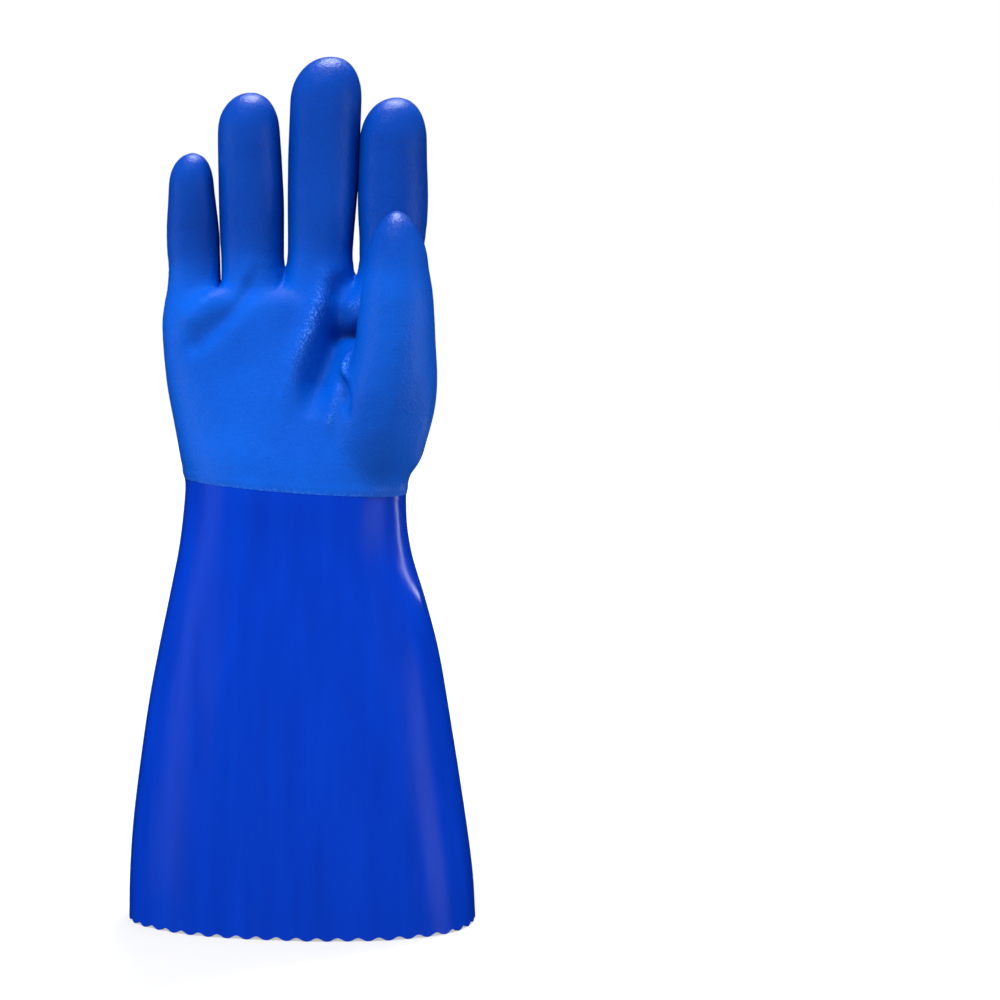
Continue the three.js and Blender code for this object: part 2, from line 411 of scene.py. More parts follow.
        def section(height: float, width: float, thick: float, aside: float = 0) -> Section:
            """Draw the finger's section at a height.

            Args:
                height: The height.
                width: Its width, as a share of a finger's.
                thick: Its thickness, as a share of this finger's.
                aside: How far it lies aside, in millimetres.

            Returns:
                The section.
            """
            share = (height - webs) / (tip - webs)
            return Section(
                height,
                self.palm_width * mix(finger.root, finger.tip, share) + aside,
                self.palm_set_back - finger.curl * self.finger_length * max(0, share) ** 2,
                width * self.finger_width,
                thick * finger.thick * self.finger_depth,
                self.finger_square,
            )

        made = []
        for above, wide, spread, thick in self.root_table:
            added = spread * (finger.inward + finger.outward)
            aside = spread * (finger.inward - finger.outward) * self.finger_width / 2
            height = webs + above * self.finger_width
            made.append(section(height, wide * finger.root_wide + added, thick, aside))
        made.append(section(mix(start, end, 0.5), finger.wide, self.middle_thick))
        made.append(section(end, finger.tip_wide, self.tip_thick))
        return made

    def thumb(self) -> list[Section]:
        """Give the sections of the thumb up to its rounded end."""
        start = self.gauntlet_length + self.thumb_start * self.palm_length
        return [
            Section(
                start + at * self.thumb_length,
                across * self.palm_width,
                self.palm_set_back - forward * self.thumb_forward,
                wide * self.thumb_width,
                thick * self.thumb_depth,
            )
            for at, across, forward, wide, thick in self.thumb_table
        ]

    def webs(self, finger: Finger) -> float:
        """Give the height of a finger's webs."""
        return self.gauntlet_length + self.palm_length - finger.base * self.finger_width

    def splayed(self, finger: Finger, height: float) -> float:
        """Give the share of a finger's splay at a height."""
        webs = self.webs(finger)
        return ease(webs + self.splay_start, webs + self.splay_full, height)

    def posts(self, height: float) -> list[tuple[float, float]]:
        """Find both edges of each splayed finger at a height, and where each of them belongs.

        Args:
            height: The height.

        Returns:
            Pairs of places along X, splayed and brought back, from the little finger on.
        """
        made: list[tuple[float, float]] = []
        for finger in reversed(self.fingers):
            length = finger.reach * self.finger_length + finger.base * self.finger_width
            share = (height - self.webs(finger)) / length
            middle = self.palm_width * mix(finger.root, finger.tip, share)
            splayed = self.splayed(finger, height)
            aside, back = middle + finger.splay * splayed, middle + finger.shift * splayed
            half = finger.wide * self.finger_width / 2
            broad = half * mix(1, finger.broad, splayed)
            left, right = ((aside + side * half, back + side * broad) for side in (-1, 1))
            if made and made[-1][0] > left[0]:
                left = ((made[-1][0] + left[0]) / 2, (made[-1][1] + left[1]) / 2)
                made[-1] = left
            made += [left, right]
        return made

    def settled(self, x: float, posts: Sequence[tuple[float, float]]) -> float:
        """Bring a point of the splayed fingers back along X.

        Args:
            x: Its place.
            posts: The edges of the fingers at its height.

        Returns:
            Its new place.
        """
        if x <= posts[0][0] or x >= posts[-1][0]:
            near = posts[0] if x <= posts[0][0] else posts[-1]
            return x + near[1] - near[0]
        i = next(k for k in range(1, len(posts)) if x <= posts[k][0])
        (from_low, to_low), (from_high, to_high) = posts[i - 1], posts[i]
        if from_high - from_low < NOUGHT:
            return to_high
        return mix(to_low, to_high, (x - from_low) / (from_high - from_low))

    def digits(self) -> list[Digit]:
        """Give the four fingers and the thumb."""
        fingers = [
            Digit(self.finger(one), one.round * self.finger_width, one) for one in self.fingers
        ]
        return [*fingers, Digit(self.thumb(), self.thumb_round * self.thumb_length, None)]

    def over_edge(self, place: Vector) -> float:
        """Measure how far a point lies above the rough coat's edge.

        Args:
            place: The point, in millimetres.

        Returns:
            The height over the slanting edge, in millimetres.
        """
        return place.dot(self.edge_normal) - self.edge_height


@dataclass(frozen=True)
class Fold:
    """A ridge, or a valley where its rise is below nought, along a line on the glove.

    Rise and spread are in millimetres. Each point of the line is a place across, a height and
    the share of the rise there.
    """

    side: Side
    rise: float
    spread: float
    line: tuple[tuple[float, float, float], ...]
    zone: Zone = Zone.HAND
    # Painted light along the fold. Above nought single grains are made pale, a painted highlight
    # along ridges. Below nought the blue is made deeper, a painted shade in creases.
    tone: float = 0.0
    # How round it is across: 2 for a soft swell, 1 for a sharp crest.
    round: float = 2.0

    def cover(self, place: Vector, normal: Vector) -> float:
        """Work out how strong the fold is at a point of the surface.

        Args:
            place: The point, in millimetres.
            normal: Which way the surface faces there.

        Returns:
            A share from 0 to 1.
        """
        facing = ease(*FACING, normal.y * self.side.value)
        ahead = ease(*THUMB_AHEAD, place.y) * ease(*THUMB_BESIDE, place.x)
        held = ahead if self.zone is Zone.THUMB else 1 - ahead
        if facing * held == 0 or self.side is Side.BACK and place.y < BACK_FROM:
            return 0.0
        here = Vector((place.x, place.z))
        best = 0.0
        for (xa, za, share_a), (xb, zb, share_b) in zip(self.line, self.line[1:]):
            start = Vector((xa, za))
            along = Vector((xb, zb)) - start
            share = min(1.0, max(0.0, (here - start).dot(along) / along.length_squared))
            off = (here - start - along * share).length / self.spread
            best = max(best, mix(share_a, share_b, share) * math.exp(-(off**self.round)))
        return best * facing * held

    def lift(self, place: Vector, normal: Vector) -> float:
        """Give how far the fold moves a point outwards, in millimetres."""
        return self.rise * self.cover(place, normal)


HAND_FOLDS = (
    # The valley from the ring finger's root across the ball of the hand, with a ridge to each side.
    Fold(
        Side.PALM,
        -2.8,
        4.5,
        ((-20, 257, 0.6), (-30, 245, 1), (-41, 235, 0.8), (-47, 232, 0.1)),
        tone=-0.35,
    ),
    Fold(Side.PALM, 1.6, 4.5, ((-33, 256, 0.6), (-43, 246, 1), (-48, 242, 0.1))),
    Fold(Side.PALM, 0.9, 2.6, ((-19.5, 267, 0.5), (-24, 257, 1), (-28, 250, 0.2))),
    # The ridge from the middle finger's root into the palm, and the hollow beside the thumb.
    Fold(
        Side.PALM,
        3.2,
        4.2,
        ((11.6, 262, 0.6), (8.6, 250, 1), (4.8, 239, 1), (0.1, 229, 0.75), (-5, 212, 0.2)),
        tone=0.6,
    ),
    Fold(
        Side.PALM,
        -5.6,
        5.0,
        ((18, 258, 0.35), (16.5, 240, 1), (12.4, 229, 1), (8.3, 219, 0.9), (3.5, 205, 0.1)),
        tone=-0.3,
    ),
    # The pocket at the thumb's root with its crease, and a bulge over it.
    Fold(Side.PALM, -3.4, 4.0, ((18, 239, 0.7), (24, 239, 1), (30, 239, 1)), tone=-0.5),
    Fold(Side.PALM, -4.0, 3.3, ((16, 237, 0.5), (24, 239, 1), (30, 239.5, 1)), tone=-1.5),
    Fold(Side.PALM, 1.2, 4.0, ((22, 250, 1), (28, 249, 1)), tone=0.4),
    # The pinched bump under it, the pocket below that, and a short ridge in the palm.
    Fold(
        Side.PALM,
        2.4,
        1.9,
        ((22.3, 230.5, 0.8), (20, 227.5, 1), (19.2, 225, 1), (20.7, 221.5, 0.6)),
        tone=1.0,
    ),
    Fold(Side.PALM, -3.2, 2.2, ((18.6, 219, 0.8), (19.6, 214, 1), (21, 207, 0.3)), tone=-0.6),
    Fold(
        Side.PALM,
        1.2,
        2.2,
        ((16, 216, 0.6), (14.9, 211, 1), (13.5, 204, 0.9), (12, 197, 0.1)),
        tone=0.35,
    ),
    # Wrinkles at the web beside the ring finger.
    Fold(Side.PALM, -0.7, 1.4, ((-6, 262, 1), (-9, 256, 0.3))),
    # The thumb's ridge, sharp along its crest.
    Fold(
        Side.PALM,
        1.5,
        7.0,
        ((40.5, 274, 0.3), (40.5, 250, 1), (40, 212, 1), (39, 190, 0.4)),
        Zone.THUMB,
        round=1.0,
    ),
    # Behind: dimples that run down from the webs, and the groove under the index finger's root.
    Fold(Side.BACK, -2.2, 2.4, ((20, 261, 1), (16, 255, 0.8), (13, 249, 0.1))),
    Fold(Side.BACK, -2.2, 2.4, ((-6, 263, 1), (-9, 256, 0.8), (-12, 250, 0.1))),
    Fold(Side.BACK, -2.6, 3.0, ((-33, 257, 1), (-36, 247, 0.9), (-35, 226, 0.1))),
    Fold(Side.BACK, -1.3, 5.0, ((45, 283, 0.5), (33, 275, 0.9), (21, 267, 0.5))),
    # The long hollows between the tendons of the hand.
    Fold(Side.BACK, -0.9, 6.0, ((17, 246, 0.2), (12, 225, 1), (8, 198, 0.1))),
    Fold(Side.BACK, -0.8, 6.0, ((-11, 246, 0.2), (-12, 225, 1), (-10, 200, 0.1))),
)

CUFF_FOLDS = (
    # The pinched hem behind, on the little finger's side.
    Fold(Side.BACK, -4.0, 9.0, ((-50, 0, 1), (-49, 16, 0.8), (-46, 44, 0.05))),
    Fold(Side.BACK, 1.6, 7.0, ((-34, 0, 0.8), (-33, 26, 0.1))),
)


@dataclass(frozen=True)
class Patch:
    """A patch of the hand's skin that is filled or smoothed, and how many times over.

    It lies between two heights, behind a place along Y, and left of one place along X or right
    of another, all in millimetres. It keeps clear of the middle of the hand's thickness.
    """

    times: int
    high: float
    low: float = 0.0
    behind: float = -math.inf
    left: float = math.inf
    right: float = math.inf
    clear: float = 0.0

    def pick(self, verts: Iterable[BMVert], middle: float) -> list[BMVert]:
        """Pick the vertices that lie in the patch.

        Args:
            verts: The vertices to pick from.
            middle: Where along Y the middle of the hand lies, in millimetres.

        Returns:
            Those in the patch.
        """
        picked = []
        for vert in verts:
            x, y, z = (part / MM for part in vert.co)
            across = x < self.left or x > self.right
            deep = y > self.behind and abs(y - middle) >= self.clear
            if across and deep and self.low < z < self.high:
                picked.append(vert)
        return picked


# Filled: where the thumb leaves the palm, its heel, and the corners beside the outer fingers.
THUMB_WEB = Patch(90, high=232, low=170, behind=-30, left=-math.inf, right=0)
THUMB_HEEL = Patch(160, high=205, left=-math.inf, right=28)
ROOT_CORNERS = Patch(90, high=254, low=215, behind=-14, left=-36, right=40)
# Smoothed: the fingers' roots before and behind, and the hand's two sides, closing in.
SMOOTHED = (
    Patch(18, high=266, low=236, behind=-17, clear=7.5),
    *(
        Patch(12, high=260 + reach, low=260 - reach, behind=-9, left=-40, right=42)
        for reach in (22, 18, 14, 10)
    ),
)


def shell(bm: BMesh, rings: Sequence[Sequence[Vector]]) -> None:
    """Lay a grid round rings of points, one row to a ring, and close it on itself.

    Args:
        bm: The mesh that it goes into.
        rings: Rings of as many points each, in millimetres.
    """
    columns, rows = len(rings[0]), len(rings) - 1
    made = bmesh.ops.create_grid(bm, x_segments=columns, y_segments=rows, size=1.0)["verts"]
    for vert in made:
        column = round((vert.co.x + 1) / 2 * columns) % columns
        vert.co = rings[round((vert.co.y + 1) / 2 * rows)][column] * MM
    bmesh.ops.remove_doubles(bm, verts=made, dist=NOUGHT)


def remeshed(bm: BMesh, voxel: float) -> BMesh:
    """Melt overlapping closed shells into one skin of even squares.

    Args:
        bm: The shells, which are freed.
        voxel: The size of a square, in millimetres.

    Returns:
        The skin, in a new mesh.
    """
    mesh = bpy.data.meshes.new("melt")
    bm.to_mesh(mesh)
    bm.free()
    holder = bpy.data.objects.new("melt", mesh)
    bpy.context.scene.collection.objects.link(holder)
    melt = holder.modifiers.new("melt", "REMESH")
    melt.mode = "VOXEL"
    melt.voxel_size = voxel * MM
    skin = bmesh.new()
    skin.from_object(holder, bpy.context.evaluated_depsgraph_get())
    bpy.data.objects.remove(holder)
    bpy.data.meshes.remove(mesh)
    return skin


def relax(bm: BMesh, verts: Iterable[BMVert], times: int) -> None:
    """Smooth some vertices several times over.

    Args:
        bm: Their mesh.
        verts: The vertices.
        times: How often.
    """
    chosen = list(verts)
    for _ in range(times):
        bmesh.ops.smooth_vert(
            bm, verts=chosen, factor=0.5, use_axis_x=True, use_axis_y=True, use_axis_z=True
        )


def fill(verts: Iterable[BMVert], times: int) -> None:
    """Fill sharp inner corners, as a thick coat does, and leave outer ones as they are.

    Args:
        verts: The vertices that may move, in a mesh with fresh normals.
        times: How often, each time a little wider.
    """
    rings = [(vert, [edge.other_vert(vert) for edge in vert.link_edges]) for vert in verts]
    for _ in range(times):
        moves = []
        for vert, around in rings:
            pull = sum((one.co for one in around), Vector()) / len(around) - vert.co
            moves.append(FILL_STEP * pull if pull.dot(vert.normal) > 0 else Vector())
        for (vert, _around), move in zip(rings, moves):
            vert.co += move


def push(bm: BMesh, lift: Callable[[Vector, Vector], float]) -> None:
    """Move each vertex along its normal.

    Args:
        bm: The mesh.
        lift: Gives the move in millimetres for a point in millimetres and its normal.
    """
    bm.normal_update()
    moves = [lift(vert.co / MM, vert.normal) * MM for vert in bm.verts]
    for vert, move in zip(bm.verts, moves):
        vert.co += vert.normal * move


def finished(bm: BMesh, name: str, finish: Material, nodes: Sequence[str], wall: float) -> Object:
    """Make a piece of the glove out of its outer skin.

    Args:
        bm: The skin, which is freed.
        name: The piece's name.
        finish: Its material.
        nodes: The solids that it stands for, which are hidden.
        wall: Its thickness, in millimetres, which goes inwards.

    Returns:
        The piece.
    """
    for face in bm.faces:
        face.smooth = True
    for edge in bm.edges:
        edge.smooth = not edge.is_boundary
    mesh = bpy.data.meshes.new(name)
    bm.to_mesh(mesh)
    bm.free()
    mesh.materials.append(finish)
    piece = bpy.data.objects.new(name, mesh)
    bpy.context.scene.collection.objects.link(piece)
    thicken = piece.modifiers.new("wall", "SOLIDIFY")
    thicken.thickness = wall * MM
    thicken.offset = -1.0
    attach(piece, "root")
    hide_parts(*nodes)
    LOG.info("%s: %d faces before its wall", name, len(mesh.polygons))
    return piece


def started(name: str) -> tuple[Material, NodeTree, Node]:
    """Start a material.

    Args:
        name: What it is and how its surface was made.

    Returns:
        The material, its tree and its shader.
    """
    made = bpy.data.materials.new(name)
    made.use_nodes = True
    return made, made.node_tree, made.node_tree.nodes["Principled BSDF"]


@dataclass(frozen=True)
class RoughPvc:
    """The second dip of PVC plastisol, roughened while it is wet and then fused.

    To the eye it is matt, with a sandy grit that sparkles where light grazes it. Sizes are in
    millimetres.
    """

    colour: str = "0056c9"
    deep: str = "004ab7"
    # Painted shade: towards the fingertips the blue is made deeper, for the shade on the fingers,
    # whose fronts lean away from the light above.
    finger_shade: str = "0041a6"
    finger_shade_deep: str = "003899"
    finger_shade_from: float = 252.0
    finger_shade_to: float = 285.0
    # Painted shade for the creases, and the pale colour of a painted highlight on single grains.
    crease_shade: str = "002f80"
    pale: str = "5f93ea"
    # The real grit is about 0.4 mm. It is drawn coarser, so that it shows.
    grit: float = 0.9
    lumps: float = 5.0
    # Thin and thick places of the dip, three to the hand's width.
    cloud: float = 100 / 3
    grit_share: float = 0.35
    # Which stretch of their noise turns one blue into the other, and which one of the grit's
    # makes single grains.
    shades: tuple[float, float] = (0.38, 0.62)
    grains: tuple[float, float] = (0.5, 0.64)
    roughness: float = 0.36
    glint: float = 0.31
    bump: float = 0.7
    bump_height: float = 0.35

    def material(self) -> Material:
        """Build the material."""
        made, tree, shader = started("PVC plastisol, dipped, rough")
        place = add_node(tree, "ShaderNodeTexCoord").outputs["Object"]
        grit, lumps, cloud = (
            add_node(
                tree,
                "ShaderNodeTexNoise",
                {"Vector": place, "Scale": 1 / (size * MM), "Detail": detail, "Roughness": rough},
            ).outputs[0]
            for size, detail, rough in (
                (self.grit, 2.0, 0.6),
                (self.lumps, 2.0, 0.5),
                (self.cloud, 3.0, 0.5),
            )
        )
        shade = add_node(tree, "ShaderNodeMix", {0: self.grit_share, 2: cloud, 3: grit}).outputs[0]
        shades, grains = (
            add_node(
                tree, "ShaderNodeMapRange", {"Value": value, "From Min": low, "From Max": high}
            ).outputs[0]
            for value, (low, high) in ((shade, self.shades), (grit, self.grains))
        )
        palm, fingers = (
            add_node(
                tree,
                "ShaderNodeMix",
                {0: shades, 6: linear(deep), 7: linear(colour)},
                data_type="RGBA",
            ).outputs[2]
            for deep, colour in ((self.deep, self.colour), (self.finger_shade_deep, self.finger_shade))
        )
        # Painted shade: how much of the deeper finger blue is laid on, rising with height.
        finger_shading = add_node(
            tree,
            "ShaderNodeMapRange",
            {
                "Value": add_node(tree, "ShaderNodeSeparateXYZ", {0: place}).outputs["Z"],
                "From Min": self.finger_shade_from * MM,
                "From Max": self.finger_shade_to * MM,
            },
            interpolation_type="SMOOTHSTEP",
        ).outputs[0]
        # Painted shade: in creases the blue is made deeper. Painted highlight: along ridges and
        # along the coat's edge single grains are made pale, as if they caught the light.
        tone = add_node(tree, "ShaderNodeAttribute", attribute_name="tone").outputs["Fac"]
        crease_shade = add_node(
            tree, "ShaderNodeMapRange", {"Value": tone, "From Min": 0.0, "From Max": -1.0}
        ).outputs[0]
        glint_share = add_node(
            tree, "ShaderNodeMath", {0: grains, 1: tone}, operation="MULTIPLY", use_clamp=True
        ).outputs[0]
        tint = palm
        for share, colour in (
            (finger_shading, fingers),
            (crease_shade, linear(self.crease_shade)),
            (glint_share, linear(self.pale)),
        ):
            tint = add_node(
                tree, "ShaderNodeMix", {0: share, 6: tint, 7: colour}, data_type="RGBA"
            ).outputs[2]
        tree.links.new(tint, shader.inputs["Base Color"])
        shine = add_node(
            tree,
            "ShaderNodeMapRange",
            {"Value": grains, "To Min": self.roughness, "To Max": self.glint},
        ).outputs[0]
        tree.links.new(shine, shader.inputs["Roughness"])
        height = add_node(tree, "ShaderNodeMath", {0: lumps, 1: grit}, operation="ADD").outputs[0]
        bump = add_node(
            tree,
            "ShaderNodeBump",
            {"Height": height, "Strength": self.bump, "Distance": self.bump_height * MM},
        )
        tree.links.new(bump.outputs[0], shader.inputs["Normal"])
        shader.inputs["IOR"].default_value = PVC_IOR
        shader.inputs["Specular IOR Level"].default_value = 0.3
        return made


@dataclass(frozen=True)
class SmoothPvc:
    """The first dip of PVC plastisol, fused as it ran: glossy, with faint runs down the form.

    Sizes are in millimetres.
    """

    colour: str = "0038bc"
    deep: str = "0032b0"
    run_width: float = 7.0
    run_length: float = 110.0
    # The peel is the fine unevenness between the runs.
    peel: float = 3.0
    peel_share: float = 0.12
    roughness: float = 0.16
    bump: float = 0.35
    bump_height: float = 0.5

    def material(self) -> Material:
        """Build the material."""
        made, tree, shader = started("PVC plastisol, dipped, smooth")
        place = add_node(tree, "ShaderNodeTexCoord").outputs["Object"]
        along = add_node(
            tree,
            "ShaderNodeMapping",
            {"Vector": place, "Scale": (1.0, 1.0, self.run_width / self.run_length)},
        ).outputs[0]
        runs, peel = (
            add_node(
                tree,
                "ShaderNodeTexNoise",
                {"Vector": vector, "Scale": 1 / (size * MM), "Detail": detail},
            ).outputs[0]
            for vector, size, detail in ((along, self.run_width, 3.0), (place, self.peel, 1.0))
        )
        spread = add_node(
            tree, "ShaderNodeMapRange", {"Value": runs, "From Min": 0.3, "From Max": 0.7}
        ).outputs[0]
        tint = add_node(
            tree,
            "ShaderNodeMix",
            {0: spread, 6: linear(self.deep), 7: linear(self.colour)},
            data_type="RGBA",
        )
        tree.links.new(tint.outputs[2], shader.inputs["Base Color"])
        height = add_node(
            tree, "ShaderNodeMath", {0: peel, 1: self.peel_share, 2: runs}, operation="MULTIPLY_ADD"
        ).outputs[0]
        bump = add_node(
            tree,
            "ShaderNodeBump",
            {"Height": height, "Strength": self.bump, "Distance": self.bump_height * MM},
        )
        tree.links.new(bump.outputs[0], shader.inputs["Normal"])
        shader.inputs["Roughness"].default_value = self.roughness
        shader.inputs["IOR"].default_value = PVC_IOR
        shader.inputs["Specular IOR Level"].default_value = 0.5
        return made


@dataclass(frozen=True)
class KnittedCotton:
    """Plain knitted cotton jersey, unbleached: cream, matt and soft, in rows of small chevrons.

    Sizes are in millimetres.
    """

    colour: str = "d9cfb8"
    deep: str = "b3a88d"
    # Real stitches are about 0.9 mm apart. They are drawn wider, so that they show.
    stitch: float = 1.6
    course: float = 1.3
    # How steep the two arms of a stitch are.
    slant: float = 1.1
    bump: float = 0.8
    bump_height: float = 0.25

    def material(self) -> Material:
        """Build the material."""
        made, tree, shader = started("cotton jersey, knitted")
        place = add_node(tree, "ShaderNodeUVMap", uv_map="knit").outputs[0]
        split = add_node(tree, "ShaderNodeSeparateXYZ", {0: place}).outputs
        arm = add_node(
            tree, "ShaderNodeMath", {0: split[0], 1: 0.5 * self.stitch}, operation="PINGPONG"
        ).outputs[0]
        row = add_node(
            tree, "ShaderNodeMath", {0: arm, 1: self.slant, 2: split[1]}, operation="MULTIPLY_ADD"
        ).outputs[0]
        turn = add_node(
            tree, "ShaderNodeMath", {0: row, 1: math.tau / self.course}, operation="MULTIPLY"
        ).outputs[0]
        loop = add_node(tree, "ShaderNodeMath", {0: turn}, operation="SINE").outputs[0]
        # The loops are broad and the gaps between them narrow.
        spread = add_node(
            tree, "ShaderNodeMapRange", {"Value": loop, "From Min": -1.0, "From Max": 0.6}
        ).outputs[0]
        tint = add_node(
            tree,
            "ShaderNodeMix",
            {0: spread, 6: linear(self.deep), 7: linear(self.colour)},
            data_type="RGBA",
        )
        tree.links.new(tint.outputs[2], shader.inputs["Base Color"])
        bump = add_node(
            tree,
            "ShaderNodeBump",
            {"Height": spread, "Strength": self.bump, "Distance": self.bump_height * MM},
        )
        tree.links.new(bump.outputs[0], shader.inputs["Normal"])
        shader.inputs["Roughness"].default_value = 0.95
        shader.inputs["Specular IOR Level"].default_value = 0.1
        shader.inputs["Sheen Weight"].default_value = 0.25
        return made


@dataclass(frozen=True)
class Layer:
    """What every layer of the glove shares: the form, and how it is drawn, in millimetres."""

    form: GloveForm = field(default_factory=GloveForm)
    digit_columns: int = 48
    body_columns: int = 120
    row: float = 2.5
    tip_rings: int = 12
    # How far the fingertips lean towards the thumb, and how full the rounded ends are.
    tip_lean: float = 1.1
    finger_taper: float = 0.92
    thumb_taper: float = 1.3
    # How far under the wrist the hand starts, before it is cut off at its edge.
    below: float = 12.0
    # Patches are filled and smoothed as often as suits squares of this size.
    patch_voxel: float = 1.25
    smoothed: int = 5
    # The splayed fingers are brought back from this height up, but the thumb stays in its place.
    settle_from: float = 250.0
    thumb_top: float = 290.0
    thumb_left: float = 24.0
    thumb_front: float = -9.7
    # What the smoothing takes off the hand, given back.
    swell: float = 0.35
    # The hand's slight unevenness: how deep, how wide and how tall its waves are.
    wave: float = 0.7
    wave_width: float = 26.0
    wave_height: float = 34.0
    # How far over the rough coat's edge the folds are reached in full.
    calm: float = 14.0

    def digit_rings(self, digit: Digit, inset: float) -> list[list[Vector]]:
        """Draw a splayed finger or the thumb as rings up to the point of its rounded end.

        Args:
            digit: The finger or thumb.
            inset: How far inside the outer face the rings lie.

        Returns:
            The rings, from the lowest up.
        """
        sections, rounded = digit.sections, digit.rounded
        start, end = sections[0].height + inset, sections[-1].height
        count = math.ceil((end - start) / self.row)
        made = [between(sections, mix(start, end, i / count)) for i in range(count + 1)]
        before, last = sections[-2], sections[-1]
        span = last.height - before.height
        lean_x, lean_y = (last.x - before.x) / span, (last.y - before.y) / span
        taper = self.finger_taper if digit.finger else self.thumb_taper
        lean = self.tip_lean if digit.finger else 0.0
        for step in range(1, self.tip_rings + 1):
            angle = math.radians(90 * step / self.tip_rings)
            rise = (rounded - inset) * math.sin(angle)
            made.append(
                replace(
                    last,
                    height=last.height + rise,
                    x=last.x + lean_x * rise + lean * math.sin(angle) ** 2,
                    y=last.y + lean_y * rise,
                    width=mix(2 * inset, last.width, math.cos(angle) ** taper),
                    depth=mix(2 * inset, last.depth, math.cos(angle)),
                )
            )
        if digit.finger:
            splay = digit.finger.splay
            made = [
                replace(s, x=s.x + splay * self.form.splayed(digit.finger, s.height)) for s in made
            ]
        return [section.ring(self.digit_columns, inset) for section in made]

    def hand(self, inset: float, voxel: float) -> BMesh:
        """Melt the palm, the fingers and the thumb into one closed skin.

        Args:
            inset: How far inside the outer face it lies.
            voxel: The size of its squares.

        Returns:
            The skin.
        """
        bm = bmesh.new()
        body = self.form.body()
        start, end = self.form.gauntlet_length - self.below, body[-1].height - inset
        count = math.ceil((end - start) / self.row)
        rings = [
            between(body, mix(start, end, i / count)).ring(self.body_columns, inset)
            for i in range(count + 1)
        ]
        shell(bm, rings)
        for digit in self.form.digits():
            shell(bm, self.digit_rings(digit, inset))
        rims = [edge for edge in bm.edges if edge.is_boundary]
        bmesh.ops.holes_fill(bm, edges=rims, sides=0)
        bmesh.ops.recalc_face_normals(bm, faces=bm.faces)
        skin = remeshed(bm, voxel)
        self.soften(skin, (self.patch_voxel / voxel) ** 2)
        self.settle(skin)
        return skin

    def soften(self, skin: BMesh, even: float) -> None:
        """Fill and smooth a skin where its shells met, as a thick dip does.

        Args:
            skin: The skin.
            even: What each patch's times are multiplied by.
        """
        middle = self.form.palm_set_back
        skin.normal_update()
        web = THUMB_WEB.pick(skin.verts, middle)
        fill(web, round(THUMB_WEB.times * even))
        fill(THUMB_HEEL.pick(web, middle), round(THUMB_HEEL.times * even))
        fill(ROOT_CORNERS.pick(skin.verts, middle), round(ROOT_CORNERS.times * even))
        relax(skin, skin.verts, self.smoothed)
        for patch in SMOOTHED:
            relax(skin, patch.pick(skin.verts, middle), round(patch.times * even))

    def settle(self, skin: BMesh) -> None:
        """Bring the splayed fingers of a skin back to their places.

        Args:
            skin: The skin.
        """
        posts: dict[float, list[tuple[float, float]]] = {}
        for vert in skin.verts:
            x, y, z = (part / MM for part in vert.co)
            height = round(z * 2) / 2
            on_thumb = height < self.thumb_top and x > self.thumb_left and y < self.thumb_front
            if height < self.settle_from or on_thumb:
                continue
            if height not in posts:
                posts[height] = self.form.posts(height)
            vert.co.x = self.form.settled(x, posts[height]) * MM

    def crumple(self, place: Vector, normal: Vector) -> float:
        """Work out the folds and the slight unevenness of the hand at a point.

        Args:
            place: The point, in millimetres.
            normal: Which way the surface faces there.

        Returns:
            How far the surface moves out, in millimetres.
        """
        width = self.wave_width
        spot = Vector((place.x / width, place.y / width, place.z / self.wave_height))
        folds = sum(fold.lift(place, normal) for fold in HAND_FOLDS)
        held = ease(0, self.calm, self.form.over_edge(place))
        return (self.swell + noise.noise(spot) * self.wave + folds) * held


@dataclass(frozen=True)
class RoughCoat(Layer):
    """The rough coat over the hand, one skin that is open at the wrist."""

    wall: float = 1.6
    voxel: float = 1.25
    # The bead along its edge: how thick and how wide it is, and how many widths up it peaks.
    bead: float = 0.3
    bead_width: float = 1.5
    bead_peak: float = 1.4
    # How strong the painted highlight of pale grains along the edge is, and how closely each fold's
    # painted highlight and painted shade keep to its line.
    edge_highlight: float = 0.3
    tone_power: int = 3
    # Points nearer than this to each other are merged along the cut.
    sliver: float = 0.4

    def surface(self, place: Vector, normal: Vector) -> float:
        """Add the thick bead along the coat's edge to the folds.

        Args:
            place: The point, in millimetres.
            normal: Which way the surface faces there.

        Returns:
            How far the surface moves out, in millimetres.
        """
        widths = self.form.over_edge(place) / self.bead_width
        bead = self.bead * math.exp(-((widths - self.bead_peak) ** 2))
        return self.crumple(place, normal) + bead

    def build(self, finish: Material) -> Object:
        """Make the coat.

        Args:
            finish: Its material.

        Returns:
            The piece.
        """
        skin = self.hand(0.0, self.voxel)
        push(skin, self.surface)
        facing = self.form.edge_normal.normalized()
        bmesh.ops.bisect_plane(
            skin,
            geom=[*skin.verts, *skin.edges, *skin.faces],
            plane_co=(0, 0, self.form.edge_height * MM),
            plane_no=facing,
            clear_inner=True,
        )
        # Slivers along the cut are merged, and the edge is brought back into its plane.
        near = [v for v in skin.verts if self.form.over_edge(v.co / MM) < self.voxel]
        bmesh.ops.remove_doubles(skin, verts=near, dist=self.sliver * MM)
        for vert in skin.verts:
            if vert.is_boundary:
                over = self.form.over_edge(vert.co / MM) / self.form.edge_normal.length
                vert.co -= facing * over * MM
        skin.normal_update()
        # Painted light: a painted highlight along the edge, and the folds' painted highlights on
        # ridges and painted shade in creases.
        tone = skin.verts.layers.float.new("tone")
        for vert in skin.verts:
            place = vert.co / MM
            edge = self.edge_highlight * math.exp(-(self.form.over_edge(place) ** 2))
            vert[tone] = edge + sum(
                fold.tone * fold.cover(place, vert.normal) ** self.tone_power
                for fold in HAND_FOLDS
            )
        return finished(skin, "rough_coat", finish, COAT_NODES, self.wall)


